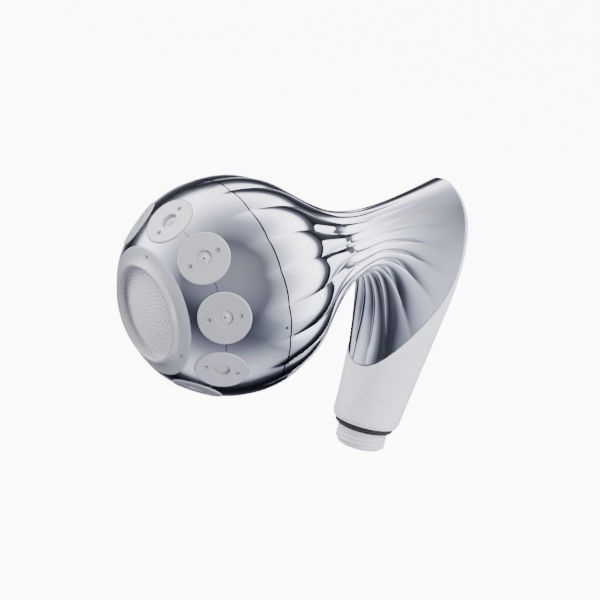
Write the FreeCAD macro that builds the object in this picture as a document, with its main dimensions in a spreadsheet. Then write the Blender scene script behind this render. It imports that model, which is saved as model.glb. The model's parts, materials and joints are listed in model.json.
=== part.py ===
"""Handheld shower head with a round rotating face, a flared neck and a hose-threaded stem.

Row frame: origin at the middle of the hose thread, +Z up the stem, spray towards -Y, +X to the right.
Head parts are drawn in a head frame: origin at the ball's centre, z' along the spray axis.
"""
import FreeCAD, Part
import math
import os
import Sketcher

V = FreeCAD.Vector
doc = FreeCAD.newDocument("shower_head")

DIMS = {
    # ball and its place on the stem
    "ball_radius": 41.8, "ball_wall": 2.2, "spray_tilt": 20.2, "head_setback": 88.0, "head_rise": 60.4,
    "seam_forward": 1.5, "seam_gap": 0.15,
    # jet discs round the face
    "jet_polar": 54.0, "jet_count": 9, "disc_radius": 9.8, "disc_face": 41.1, "disc_thick": 2.4,
    "skirt_outer": 8.0, "skirt_inner": 6.4, "skirt_depth": 6.6, "key_radius": 1.0, "key_offset": 5.8,
    "jet_bore": 3.0, "jet_hole": 0.4,
    # spray ring and plate
    "ring_outer": 24.7, "lip_outer": 19.1, "lip_inner": 17.8, "lip_top": 37.6, "ring_edge": 34.0,
    "plate_edge": 19.4, "plate_dome": 17.4, "plate_apex": 36.7, "plate_curve": 57.4, "plate_thick": 1.2,
    # inner works
    "pivot_radius": 2.6, "flange_inner": 28.0, "plunger_place": 30.0, "screw_place": 34.4,
    "mode_pitch": 18.0, "mode_count": 4,
    # stem
    "stem_wall": 2.0, "rim_radius": 14.0, "rim_drop": 51.8, "thread_radius": 10.478, "thread_root": 9.316,
    "thread_pitch": 1.814, "thread_turns": 4, "thread_end": 64.0, "spigot_bore": 7.0,
    "oring_major": 10.9, "oring_minor": 1.3, "oring_drop": 54.8, "pipe_outer": 6.0, "pipe_inner": 4.6,
}
sheet = doc.addObject("Spreadsheet::Sheet", "Dims")
for row, (alias, value) in enumerate(DIMS.items(), start=1):
    sheet.set(f"A{row}", alias)
    sheet.set(f"B{row}", str(value))
    sheet.setAlias(f"B{row}", alias)
doc.recompute()

kept = []


def size(alias):
    """The value of a driving dimension, read back from the sheet."""
    return float(getattr(sheet, alias))


def bind(obj, **properties):
    """Ties properties of an object to expressions on the sheet; '#' stands for the sheet's name."""
    for prop, expression in properties.items():
        obj.setExpression(prop, str(expression).replace("#", "Dims."))
    return obj


HEAD = FreeCAD.Placement(
    V(0, -size("head_setback"), size("head_rise")),
    FreeCAD.Rotation(V(1, 0, 0), 90 + size("spray_tilt")),
)
STEM = FreeCAD.Placement(V(0, -size("head_setback"), size("head_rise")), FreeCAD.Rotation())


def jet_placement(index):
    """Place of jet number index in the head frame: z'' runs out through the disc's centre."""
    azimuth = FreeCAD.Rotation(V(0, 0, 1), -360.0 / size("jet_count") * index)
    tilt = FreeCAD.Rotation(V(1, 0, 0), -size("jet_polar"))
    return FreeCAD.Placement(V(0, 0, 0), azimuth.multiply(tilt))


def keep(obj, label, placement):
    """Marks an object as a sub-part of the assembly."""
    obj.Label = label
    obj.Placement = placement.multiply(obj.Placement)
    kept.append(obj)
    return obj


def cylinder(name, radius, height, base=0.0, at=(0, 0)):
    """Part::Cylinder along z with its radius and height tied to the sheet."""
    solid = bind(doc.addObject("Part::Cylinder", name), Radius=radius, Height=height)
    solid.Placement.Base = V(at[0], at[1], base)
    return solid


def cone(name, low_radius, top_radius, height, base=0.0):
    """Part::Cone along z with its sizes tied to the sheet."""
    solid = bind(doc.addObject("Part::Cone", name), Radius1=low_radius, Radius2=top_radius, Height=height)
    solid.Placement.Base = V(0, 0, base)
    return solid


def sphere(name, radius):
    """Part::Sphere tied to the sheet."""
    return bind(doc.addObject("Part::Sphere", name), Radius=radius)


def torus(name, major, minor, base=0.0):
    """Part::Torus about z tied to the sheet."""
    solid = bind(doc.addObject("Part::Torus", name), Radius1=major, Radius2=minor)
    solid.Placement.Base = V(0, 0, base)
    return solid


def cut(name, base, tool):
    """Part::Cut of two objects."""
    result = doc.addObject("Part::Cut", name)
    result.Base, result.Tool = base, tool
    return result


def fuse(name, *shapes):
    """Part::MultiFuse of several objects."""
    result = doc.addObject("Part::MultiFuse", name)
    result.Shapes = list(shapes)
    return result


def common(name, first, second):
    """Part::MultiCommon of two objects."""
    result = doc.addObject("Part::MultiCommon", name)
    result.Shapes = [first, second]
    return result


def group(name, solids):
    """Several separate solids of one kind, kept as a compound."""
    result = doc.addObject("Part::Compound", name)
    result.Links = list(solids)
    return result


def ring_of(name, count, radius, make, start=0.0):
    """Makes count objects spaced evenly round z at a radius; make(name) builds each at the origin."""
    made = []
    for index in range(count):
        angle = math.radians(start + 360.0 * index / count)
        solid = make(f"{name}_{index + 1}")
        solid.Placement.Base += V(radius * math.cos(angle), radius * math.sin(angle), 0)
        made.append(solid)
    return made


def turned(name, corners):
    """PartDesign body: a closed outline of (radius, height) expressions revolved about z."""
    body = doc.addObject("PartDesign::Body", name)
    sketch = body.newObject("Sketcher::SketchObject", name + "_outline")
    plane = [o for o in body.Origin.OriginFeatures if o.Role == "XZ_Plane"][0]
    sketch.AttachmentSupport = (plane, [""])
    sketch.MapMode = "FlatFace"
    values = [tuple(evaluate(term) for term in corner) for corner in corners]
    total = len(corners)
    for index in range(total):
        here, after = values[index], values[(index + 1) % total]
        sketch.addGeometry(Part.LineSegment(V(here[0], here[1], 0), V(after[0], after[1], 0)), False)
    for index in range(total):
        sketch.addConstraint(Sketcher.Constraint("Coincident", index, 2, (index + 1) % total, 1))
    for index, (corner, value) in enumerate(zip(corners, values)):
        for kind, term, number in zip(("DistanceX", "DistanceY"), corner, value):
            place = sketch.addConstraint(Sketcher.Constraint(kind, -1, 1, index, 1, number))
            sketch.setExpression(f"Constraints[{place}]", str(term).replace("#", "Dims."))
    revolution = body.newObject("PartDesign::Revolution", name + "_turn")
    revolution.Profile = (sketch, [""])
    revolution.ReferenceAxis = (sketch, ["V_Axis"])
    revolution.Angle = 360.0
    body.Tip = revolution
    return body


def evaluate(term):
    """The number that an outline expression stands for."""
    names = {alias: size(alias) for alias in DIMS}
    text = str(term).replace("#", "")
    total, sign = 0.0, 1.0
    for word in text.replace("-", " - ").replace("+", " + ").split():
        if word in "+-":
            sign = -1.0 if word == "-" else 1.0
        else:
            total += sign * (names[word] if word in names else float(word))
            sign = 1.0
    return total


# ---------------------------------------------------------------- flowing shells

KEYS = 6  # the key lines stand every 30 degrees from the top (0) to the underside (6)
NECK_START = 60.0  # how far behind the ball's centre the trumpet begins
# Where each key line of the trumpet meets the back cover: x, y, z from the ball's centre.
SEAM = [(0, 95.2, 50.7), (8.2, 96.2, 48), (14.6, 99.2, 38), (17.2, 100.3, 20), (16.8, 93.6, -1.5),
        (12.4, 79.5, -21.5), (0, 75.2, -29.5)]
# The direction in which each key line arrives there, and its two handle lengths.
ARRIVE = [(0, 0.9, 0.44), (0.2, 0.9, 0.34), (0.28, 0.94, 0.16), (0.2, 0.97, -0.12), (0.08, 0.74, -0.66),
          (0.03, 0.3, -0.95), (0, 0.03, -1)]
HANDLES = [(12, 14), (13, 15), (16, 16), (17, 20), (15, 22), (11, 24), (9, 24)]
# The back cover's key lines from the seam to the rim: two inner control points each.
COVER = [((0, 107.5, 50), (0, 108, 0)), ((8.4, 108.5, 44), (7, 107, -3)), ((15, 108, 32), (12.2, 104.6, -8)),
         ((17.2, 105, 10), (14.4, 98, -20)), ((17, 96.5, -9), (14.4, 86, -32)),
         ((12.4, 79.5, -28), (8.6, 77, -42)), ((0, 75.2, -36), (0, 74.2, -45))]
AROUND, ALONG_SHELL, ALONG_COVER = 48, 44, 26


def even_wave(samples, angle):
    """Smooth even curve round the neck through one value per key line."""
    total = 0.0
    for order in range(KEYS + 1):
        weight = sum(
            (0.5 if key in (0, KEYS) else 1.0) * value * math.cos(math.pi * key * order / KEYS)
            for key, value in enumerate(samples)
        )
        total += (0.5 if order in (0, KEYS) else 1.0) * weight * math.cos(order * angle)
    return total * 2.0 / KEYS


def odd_wave(samples, angle):
    """Smooth odd curve round the neck through one value per key line."""
    total = 0.0
    for order in range(1, KEYS):
        weight = sum(value * math.sin(math.pi * key * order / KEYS) for key, value in enumerate(samples))
        total += weight * math.sin(order * angle)
    return total * 2.0 / KEYS


def key_point(points, angle):
    """Point on the smooth loop through the key lines' points."""
    return V(
        odd_wave([p[0] for p in points], angle),
        even_wave([p[1] for p in points], angle),
        even_wave([p[2] for p in points], angle),
    )


def bezier(a, b, c, d, t):
    """Point at share t of a cubic curve."""
    s = 1.0 - t
    return a * (s * s * s) + b * (3 * s * s * t) + c * (3 * s * t * t) + d * (t * t * t)


def bulb_outline(t):
    """Outline of ball and neck behind the seam: (distance back, radius), t from 0 at the seam to 1."""
    ball = size("ball_radius")
    leave = math.radians(35.0)
    ball_share = 0.5
    start = math.asin((size("seam_gap") - size("seam_forward")) / ball)
    if t < ball_share:
        angle = start + (leave - start) * t / ball_share
        return ball * math.sin(angle), ball * math.cos(angle)
    ball_end = V(ball * math.sin(leave), ball * math.cos(leave), 0)
    corners = [ball_end, V(35.5, 26.2, 0), V(48, 12.8, 0), V(68, 12.2, 0)]
    neck = bezier(*corners, neck_share() * (t - ball_share) / (1 - ball_share))
    return neck.x, neck.y


def neck_share():
    """Share of the neck curve that lies in front of the trumpet."""
    return 0.846


def spray_frame(back, radius, angle):
    """Point given by its distance behind the ball's centre, its radius and its angle from the top."""
    tilt = math.radians(size("spray_tilt"))
    up = radius * math.cos(angle)
    return V(
        radius * math.sin(angle),
        back * math.cos(tilt) - up * math.sin(tilt),
        back * math.sin(tilt) + up * math.cos(tilt),
    )


def trumpet(angle, t):
    """Point of the flared neck on one line from the neck (t 0) to the back cover's seam (t 1)."""
    back, radius = bulb_outline(1.0)
    start = spray_frame(back, radius, angle)
    before_back, before_radius = bulb_outline(0.99)
    leave = (start - spray_frame(before_back, before_radius, angle)).normalize()
    end = key_point(SEAM, angle)
    arrive = key_point(ARRIVE, angle).normalize()
    first = even_wave([h[0] for h in HANDLES], angle)
    last = even_wave([h[1] for h in HANDLES], angle)
    return bezier(start, start + leave * first, end - arrive * last, end, t)


def shell_point(angle, t):
    """Point of the chrome shell from the ball's seam (t 0) through the neck to the cover's seam (t 1)."""
    bulb_share = 0.58
    if t <= bulb_share:
        back, radius = bulb_outline(t / bulb_share)
        return spray_frame(back, radius, angle)
    return trumpet(angle, (t - bulb_share) / (1 - bulb_share))


def cover_point(angle, t):
    """Point of the back cover from the seam (t 0) down to the stem's rim (t 1)."""
    rim = V(
        size("rim_radius") * math.sin(angle),
        size("head_setback") + size("rim_radius") * math.cos(angle),
        -size("rim_drop"),
    )
    first = key_point([c[0] for c in COVER], angle)
    second = key_point([c[1] for c in COVER], angle)
    return bezier(key_point(SEAM, angle), first, second, rim, t)


def inward(surface, angle, t):
    """Unit normal of a flowing surface, pointing into the part."""
    step = 1e-3
    low, high = max(0.0, t - step), min(1.0, t + step)
    along = surface(angle, high) - surface(angle, low)
    around = surface(angle + step, t) - surface(angle - step, t)
    return around.cross(along).normalize() * -1.0


def loop_normal(angle):
    """Direction of the joint face between chrome shell and cover: half way between their normals."""
    return (inward(shell_point, angle, 1.0) + inward(cover_point, angle, 0.0)).normalize()


def off_seam(direction, angle):
    """Unit direction square to the cover's seam, on the side that direction points to."""
    step = 1e-3
    tangent = (key_point(SEAM, angle + step) - key_point(SEAM, angle - step)).normalize()
    return (direction - tangent * direction.dot(tangent)).normalize()


def flowing_shell(name, surface, rows, joint_row, gap):
    """Closed shell of even wall between a flowing surface and its inner offset."""
    wall = size("stem_wall")
    outer, inner = [], []
    for column in range(AROUND):
        angle = 2 * math.pi * column / AROUND
        outer_line, inner_line = [], []
        for row in range(rows):
            t = row / (rows - 1.0)
            point = surface(angle, t)
            normal = inward(surface, angle, t)
            away = (point - surface(angle, joint_row / (rows - 1.0))).Length / 5.0
            if away < 1.0:
                normal = (loop_normal(angle) * (1.0 - away) + normal * away).normalize()
            if row == joint_row:
                point = point + off_seam(surface(angle, abs(t - 0.01)) - point, angle) * gap
            elif row == 0:
                normal = level(normal, V(0, math.cos(math.radians(size("spray_tilt"))),
                                         math.sin(math.radians(size("spray_tilt")))))
            elif row == rows - 1:
                normal = level(normal, V(0, 0, 1))
            outer_line.append(point)
            inner_line.append(point + normal * wall)
        outer.append(outer_line)
        inner.append(inner_line)
    faces = [skin(outer), skin(inner)]
    for row in (0, rows - 1):
        faces.append(Part.makeRuledSurface(hoop(outer, row), hoop(inner, row)))
    shell = Part.Shell(faces)
    shell.sewShape()
    solid = Part.Solid(shell)
    if solid.Volume < 0:
        solid.reverse()
    feature = doc.addObject("Part::Feature", name)
    feature.Shape = solid
    return feature


def level(normal, axis):
    """A normal laid flat in the plane across axis, so that the end face is plane."""
    return (normal - axis * normal.dot(axis)).normalize()


def skin(grid):
    """B-spline face, closed round the part, through a net of poles."""
    columns, rows = len(grid), len(grid[0])
    surface = Part.BSplineSurface()
    surface.buildFromPolesMultsKnots(
        grid, [1] * (columns + 1), [4] + [1] * (rows - 4) + [4],
        list(range(columns + 1)), list(range(rows - 2)), True, False, 3, 3,
    )
    return surface.toShape()


def hoop(grid, row):
    """Closed B-spline edge through one row of poles."""
    columns = len(grid)
    curve = Part.BSplineCurve()
    curve.buildFromPolesMultsKnots(
        [line[row] for line in grid], [1] * (columns + 1), list(range(columns + 1)), True, 3
    )
    return curve.toShape()


# ---------------------------------------------------------------- head casing


def make_casing():
    """Chrome rear shell with its trumpet, the two front domes and the index dot."""
    keep(flowing_shell("RearShell", shell_point, ALONG_SHELL, ALONG_SHELL - 1, 0.12), "rear_shell", STEM)
    keep(flowing_shell("BackCover", cover_point, ALONG_COVER, 0, 0.12), "back_cover", STEM)
    part_line = size("ball_radius") * math.cos(math.radians(size("jet_polar")))
    seam = size("seam_forward") + size("seam_gap")
    half_line = 0.1
    wall = cut("BallWall", sphere("BallOut", "#ball_radius"), sphere("BallIn", "#ball_radius - #ball_wall"))
    band = common("OuterBand", wall, cylinder("OuterSlab", 60, part_line - half_line - seam, seam))
    flange = cut(
        "Flange", cylinder("FlangeDisc", "#ball_radius - #ball_wall + 0.2", 2.5, 2.0),
        cylinder("FlangeBore", "#flange_inner", 6, 0.5),
    )
    dome = cut("OuterDomeBored", fuse("OuterDomeBody", band, flange),
               jet_holes("DomeSeats", "#disc_radius + 0.15", 30))
    screws = ring_of("FlangeHole", 6, size("screw_place"), lambda n: cylinder(n, 1.35, 6, 0.5), 10.0)
    notches = []
    for step in range(int(size("mode_count"))):
        angle = math.radians(-90 - size("mode_pitch") * step)
        dimple = sphere(f"Detent{step + 1}", 1.5)
        place = size("plunger_place")
        dimple.Placement.Base = V(place * math.cos(angle), place * math.sin(angle), 1.2)
        notches.append(dimple)
    dome = cut("OuterDome", dome, fuse("DomeTools", *screws, *notches, index_hole()))
    keep(dome, "outer_dome", HEAD)
    face_out = sphere("FaceOut", "#ball_radius")
    face_wall = cut("FaceWall", face_out, sphere("FaceIn", "#ball_radius - #ball_wall"))
    slab = cut(
        "FaceSlab", cylinder("FaceDisc", 60, 20, part_line + half_line),
        cylinder("FaceMouth", "#ring_outer + 0.1", 40, 10),
    )
    seats = jet_holes("FaceSeats", "#disc_radius + 0.15", 30)
    keep(cut("FaceDome", common("FaceBand", face_wall, slab), seats), "face_dome", HEAD)
    dot = cylinder("IndexDot", 0.55, 1.2, size("ball_radius") - 1.15)
    keep(dot, "index_dot", HEAD.multiply(index_place()))


def jet_holes(name, radius, start):
    """Nine cylinders along the jets' axes, fused into one cutting tool."""
    holes = []
    for index in range(int(size("jet_count"))):
        hole = cylinder(f"{name}{index + 1}", radius, 20)
        hole.Placement = jet_placement(index).multiply(
            FreeCAD.Placement(V(0, 0, start), FreeCAD.Rotation()))
        holes.append(hole)
    return fuse(name, *holes)


def index_place():
    """Place of the mode index just in front of the ball's seam, on the right."""
    turn = FreeCAD.Rotation(V(0, 0, 1), -92.0).multiply(FreeCAD.Rotation(V(1, 0, 0), -85.5))
    return FreeCAD.Placement(V(0, 0, 0), turn)


def index_hole():
    """Blind hole that the index dot sits in."""
    hole = cylinder("IndexHole", 0.6, 3, 0)
    hole.Placement = index_place().multiply(
        FreeCAD.Placement(V(0, 0, size("ball_radius") - 1.2), FreeCAD.Rotation()))
    return hole


# ---------------------------------------------------------------- jets


def make_jets():
    """Nine jet discs with their screwed skirts, nozzle tips and seals."""
    seals = []
    for index in range(int(size("jet_count"))):
        number = index + 1
        place = HEAD.multiply(jet_placement(index))
        under = "#disc_face - #disc_thick"
        disc = turned(f"Disc{number}", [
            ("#jet_bore", under), ("#skirt_inner", under), ("#skirt_inner", under + " - #skirt_depth + 2"),
            ("#skirt_outer", under + " - #skirt_depth + 2"), ("#skirt_outer", under),
            ("#disc_radius", under), ("#disc_radius", "#disc_face - 0.35"),
            ("#disc_radius - 0.35", "#disc_face"), ("#jet_bore + 0.3", "#disc_face"),
            ("#jet_bore", "#disc_face - 0.3"),
        ])
        keys = []
        for side in (-1, 1):
            key = cone(f"Key{number}{'in' if side < 0 else 'out'}", "#key_radius - 0.2", "#key_radius", 1.2)
            key.Placement.Base = V(0, side * size("key_offset"), size("disc_face") - 1.1)
            keys.append(key)
        keep(cut(f"JetDisc{number}", disc, fuse(f"Keys{number}", *keys)), f"jet_disc_{number}", place)
        keep(turned(f"JetNozzle{number}", [
            ("#jet_hole", "#disc_face - 0.6"), ("#jet_hole + 0.5", "#disc_face - 0.55"),
            ("1.7", "#disc_face - 1.0"), ("#jet_bore - 0.1", "#disc_face - 1.2"),
            ("#jet_bore - 0.1", under + " - 0.05"), ("4.4", under + " - 0.05"), ("4.4", under + " - 1.2"),
            ("2.2", under + " - 1.2"), ("#jet_hole", under + " + 0.4"),
        ]), f"jet_nozzle_{number}", place)
        seal = cut(f"SealRing{number}", cylinder(f"SealOut{number}", "#disc_radius - 0.2", 0.4, 38.25),
                   cylinder(f"SealIn{number}", "#skirt_outer + 0.15", 2, 37.5))
        seal.Placement = jet_placement(index)
        seals.append(seal)
    keep(group("JetSeals", seals), "jet_seals", HEAD)


# ---------------------------------------------------------------- spray ring, plate and inner works


def make_face():
    """Bezel ring, domed spray plate, its gasket and the cup that feeds it."""
    ring = turned("RingBody", [
        ("#lip_inner", "34.2"), ("19.6", "34.2"), ("19.6", "30"), ("#ring_outer", "30"),
        ("#ring_outer", "#ring_edge - 0.3"), ("#ring_outer - 0.4", "#ring_edge + 0.15"),
        ("20.4", "35.1"), ("#lip_outer + 0.5", "35.6"), ("#lip_outer", "#lip_top - 0.3"),
        ("#lip_outer - 0.3", "#lip_top"), ("#lip_inner + 0.3", "#lip_top"), ("#lip_inner", "#lip_top - 0.3"),
    ])
    keys = ring_of("RingKey", 3, 21.9, lambda n: cone(n, 0.6, 0.8, 2.6, 33.4), 90.0)
    keep(cut("SprayRing", ring, fuse("RingKeys", *keys)), "spray_ring", HEAD)

    crown = sphere("CrownOut", "#plate_curve")
    crown.Placement.Base = V(0, 0, size("plate_apex") - size("plate_curve"))
    hollow = sphere("CrownIn", "#plate_curve - #plate_thick")
    hollow.Placement.Base = crown.Placement.Base
    cap = common("CrownCap", cut("CrownWall", crown, hollow), cylinder("CrownSlab", "#plate_dome", 5, 33.0))
    rim = cylinder("PlateRim", "#plate_edge", 1.1, 33.0)
    edge = cut("PlateEdge", rim, cylinder("PlateEye", 16.2, 3, 32))
    holes = []
    for lap, count in enumerate((1, 6, 12, 18)):
        holes += ring_of(f"Mist{lap}", count, 4.2 * lap, lambda n: cylinder(n, 0.25, 6, 32))
    keep(cut("SprayPlate", fuse("PlateBody", cap, edge), fuse("MistHoles", *holes)), "spray_plate", HEAD)
    keep(turned("PlateGasket", [("18.4", "31.9"), ("19.4", "31.9"), ("19.4", "32.95"), ("18.4", "32.95")]),
         "plate_gasket", HEAD)
    keep(turned("SprayCup", [
        ("6.5", "7.6"), ("9", "7.6"), ("9", "12"), ("18.2", "12"), ("18.2", "32.9"), ("16.6", "32.9"),
        ("16.6", "13.8"), ("6.5", "13.8"),
    ]), "spray_cup", HEAD)


def make_inner_works():
    """Jet manifold, distributor, selector and the bulkhead that carries the pivot and the detent."""
    wall = cut("ManifoldWall", sphere("ManifoldOut", 38.2), sphere("ManifoldIn", 34.0))
    zone = common("ManifoldZone", wall, cylinder("ManifoldSlab", 60, 20.4, 8.0))
    sockets = jet_holes("Sockets", "#skirt_outer + 0.15", 31)
    keep(cut("Manifold", zone, sockets), "jet_manifold", HEAD)
    keep(turned("ManifoldGasket", [("33.6", "7.45"), ("36.6", "7.45"), ("36.6", "7.95"), ("33.6", "7.95")]),
         "manifold_gasket", HEAD)

    body = turned("DistributorBody", [
        ("#pivot_radius + 0.08", "-2"), ("#flange_inner - 0.3", "-2"), ("#flange_inner - 0.3", "4.6"),
        ("37", "4.6"), ("37", "7.4"), ("#pivot_radius + 0.08", "7.4"),
    ])
    ports = ring_of("FeedPort", 6, 12.0, lambda n: cylinder(n, 2.4, 20, -6), 30.0)
    ports += ring_of("JetPort", 9, 23.0, lambda n: cylinder(n, 1.8, 20, -6), 20.0)
    threads = ring_of("DistributorHole", 6, size("screw_place"), lambda n: cylinder(n, 1.1, 6, 3), 10.0)
    keep(cut("Distributor", body, fuse("DistributorTools", *ports, *threads)), "distributor", HEAD)
    screws = []
    for number, (shank, head) in enumerate(zip(
        ring_of("ScrewShank", 6, size("screw_place"), lambda n: cylinder(n, 1.05, 6.2, 1.0), 10.0),
        ring_of("ScrewHead", 6, size("screw_place"), lambda n: cylinder(n, 2.0, 1.0, 0.95), 10.0),
    )):
        screws.append(fuse(f"FlangeScrew{number + 1}", shank, head))
    keep(group("FlangeScrews", screws), "flange_screws", HEAD)

    plate = turned("SelectorBody", [
        ("#pivot_radius + 0.1", "-5"), ("18", "-5"), ("18", "-2.2"), ("#pivot_radius + 0.1", "-2.2"),
    ])
    windows = ring_of("Window", 3, 12.0, lambda n: cylinder(n, 2.4, 8, -8), 30.0)
    keep(cut("Selector", plate, fuse("Windows", *windows)), "selector_plate", HEAD)
    keep(torus("SelectorSeal", 19.1, 0.95, -4.0), "selector_seal", HEAD)

    bulkhead = turned("BulkheadBody", [
        ("#pivot_radius + 0.02", "-14"), ("4.6", "-14"), ("4.6", "-9"), ("38.5", "-9"), ("39.2", "-5.1"),
        ("#pivot_radius + 0.02", "-5.1"),
    ])
    inlet = cylinder("InletBoss", 8.6, 8, -17, (0, -13.0))
    boss = cylinder("DetentBoss", 3.0, 7.6, -15.6, (0, -size("plunger_place")))
    tools = [
        cylinder("InletBore", 6.3, 16, -19, (0, -13.0)),
        cylinder("DetentBore", 1.5, 12, -14.6, (0, -size("plunger_place"))),
    ]
    tools += ring_of("BulkheadHole", 4, 34.5, lambda n: cylinder(n, 1.1, 8, -11), 45.0)
    keep(cut("Bulkhead", fuse("BulkheadSolid", bulkhead, inlet, boss), fuse("BulkheadTools", *tools)),
         "bulkhead", HEAD)
    heads = []
    for number, (shank, head) in enumerate(zip(
        ring_of("AnchorShank", 4, 34.5, lambda n: cylinder(n, 1.05, 5.0, -9.0), 45.0),
        ring_of("AnchorHead", 4, 34.5, lambda n: cylinder(n, 2.0, 1.2, -5.05), 45.0),
    )):
        heads.append(fuse(f"BulkheadScrew{number + 1}", shank, head))
    keep(group("BulkheadScrews", heads), "bulkhead_screws", HEAD)

    bolt = turned("PivotBolt", [
        ("0", "-13.5"), ("#pivot_radius", "-13.5"), ("#pivot_radius", "8"), ("4.8", "8"), ("4.8", "11.2"),
        ("2.2", "11.2"), ("2.2", "9.6"), ("0", "9.6"),
    ])
    keep(bolt, "pivot_bolt", HEAD)
    keep(turned("PivotWasher", [
        ("#pivot_radius + 0.1", "7.45"), ("5.4", "7.45"), ("5.4", "7.95"), ("#pivot_radius + 0.1", "7.95"),
    ]), "pivot_washer", HEAD)
    keep(turned("DomeSeal", [("36.9", "-4.4"), ("38.1", "-4.4"), ("38.1", "1.0"), ("37.6", "1.0"),
                             ("36.9", "-1.5")]), "dome_seal", HEAD)
    make_detent()


def make_detent():
    """Spring-loaded pin that clicks into the notches of the turning dome."""
    offset = FreeCAD.Placement(V(0, -size("plunger_place"), 0), FreeCAD.Rotation())
    keep(turned("Plunger", [
        ("0", "-7.2"), ("1.4", "-7.2"), ("1.4", "1.0"), ("0.8", "1.75"), ("0", "1.75"),
    ]), "detent_plunger", HEAD.multiply(offset))
    turns, reach, coil, wire = 8, 5.7, 0.95, 0.2
    helix = Part.makeHelix(reach / turns, reach, coil)
    profile = Part.Wire([Part.makeCircle(wire, V(coil, 0, 0), V(0, 1, 0))])
    spring = doc.addObject("Part::Feature", "DetentSpring")
    spring.Shape = Part.Wire(helix.Edges).makePipeShell([profile], True, True)
    keep(spring, "detent_spring", HEAD.multiply(offset).multiply(
        FreeCAD.Placement(V(0, 0, -14.2), FreeCAD.Rotation())))


# ---------------------------------------------------------------- stem


def make_stem():
    """Water way through the stem: pipe, bubble core, threaded spigot, seals and screen."""
    axis = size("head_setback")
    tilt = math.radians(size("spray_tilt"))
    bend = 13.0
    inlet_back, inlet_drop = 17.3, 13.0
    port = V(0, inlet_back * math.cos(tilt) + inlet_drop * math.sin(tilt),
             inlet_back * math.sin(tilt) - inlet_drop * math.cos(tilt))
    throat = V(0, 66 * math.cos(tilt), 66 * math.sin(tilt))
    corner = V(0, axis, throat.z + (axis - throat.y) * math.tan(tilt))
    foot = V(0, axis, -22.0)
    straight = port + V(0, math.cos(tilt), math.sin(tilt)) * 12.0
    pipe_path = rounded_path([port, straight, throat, corner, foot], [20.0, 18.0, bend])
    sections = []
    for radius in (size("pipe_outer"), size("pipe_inner")):
        circle = Part.Wire([Part.makeCircle(radius, port, V(0, math.cos(tilt), math.sin(tilt)))])
        sections.append(pipe_path.makePipeShell([circle], True, False))
    pipe = doc.addObject("Part::Feature", "InletPipe")
    pipe.Shape = sections[0].cut(sections[1])
    keep(pipe, "inlet_pipe", STEM)

    at_axis = STEM.multiply(FreeCAD.Placement(V(0, axis, 0), FreeCAD.Rotation()))
    keep(turned("BubbleCore", [
        ("2", "-46"), ("8.6", "-46"), ("8.6", "-42.5"), ("7.4", "-42.5"), ("7.4", "-40"), ("8.6", "-40"),
        ("8.6", "-20"), ("6.1", "-20"), ("6.1", "-22.1"), ("4.6", "-22.1"), ("1.6", "-36"), ("1.6", "-40"),
    ]), "bubble_core", at_axis)
    keep(torus("CoreSeal", 8.45, 1.0, -41.25), "core_seal", at_axis)
    keep(turned("CoreSleeve", [
        ("8.7", "-46"), ("10", "-46"), ("10", "-20"), ("8.7", "-20"), ("8.7", "-39.9"), ("9.5", "-39.9"),
        ("9.5", "-42.6"), ("8.7", "-42.6"),
    ]), "core_sleeve", at_axis)
    spigot = turned("SpigotBody", [
        ("#spigot_bore", "-#thread_end"), ("#thread_radius - 0.9", "-#thread_end"),
        ("#thread_radius", "-#thread_end + 0.9"), ("#thread_radius", "-56.2"),
        ("9.5", "-56.2"), ("9.5", "-53.3"), ("11.3", "-53.3"), ("11.3", "-46.1"), ("#spigot_bore", "-46.1"),
    ])
    grooves = []
    for turn in range(int(size("thread_turns"))):
        place = -size("thread_end") + 1.75 + size("thread_pitch") * turn
        grooves.append(turned(f"Groove{turn + 1}", [
            ("#thread_root", f"{place - 0.12}"), ("#thread_radius + 0.05", f"{place - 0.72}"),
            ("#thread_radius + 0.05", f"{place + 0.72}"), ("#thread_root", f"{place + 0.12}"),
        ]))
    keep(cut("Spigot", spigot, fuse("Grooves", *grooves)), "thread_spigot", at_axis)
    keep(torus("SpigotRing", "#oring_major", "#oring_minor", -size("oring_drop")), "spigot_o_ring", at_axis)
    keep(turned("EndRing", [("11.35", "-53.3"), ("13.2", "-53.3"), ("13.4", "-53.1"), ("13.4", "-52"),
                            ("11.35", "-52")]), "end_ring", at_axis)
    screen = cylinder("ScreenDisc", "#spigot_bore - 0.05", 0.8, -61.5)
    mesh = []
    for lap, count in enumerate((1, 6, 12)):
        mesh += ring_of(f"Mesh{lap}", count, 2.3 * lap, lambda n: cylinder(n, 0.8, 3, -63))
    keep(cut("InletScreen", screen, fuse("MeshHoles", *mesh)), "inlet_screen", at_axis)
    neck_place = STEM.multiply(FreeCAD.Placement(
        throat, FreeCAD.Rotation(V(1, 0, 0), -90 + size("spray_tilt"))))
    keep(turned("NeckBush", [("#pipe_outer + 0.05", "-3.5"), ("9.6", "-3.5"), ("9.6", "-0.5"),
                             ("#pipe_outer + 0.05", "-0.5")]), "neck_bush", neck_place)


def rounded_path(points, radii):
    """Wire of straight runs joined by tangent arcs of the given radii."""
    edges, last = [], points[0]
    for here, before, after, radius in zip(points[1:-1], points[:-2], points[2:], radii):
        arriving, leaving = (here - before).normalize(), (after - here).normalize()
        turn = arriving.getAngle(leaving)
        if turn > 1e-4:
            reach = radius * math.tan(turn / 2)
            start, end = here - arriving * reach, here + leaving * reach
            centre_side = (leaving - arriving).normalize()
            middle = here + centre_side * (radius / math.cos(turn / 2) - radius)
            edges.append(Part.LineSegment(last, start).toShape())
            edges.append(Part.Arc(start, middle, end).toShape())
            last = end
    edges.append(Part.LineSegment(last, points[-1]).toShape())
    return Part.Wire(edges)


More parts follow.
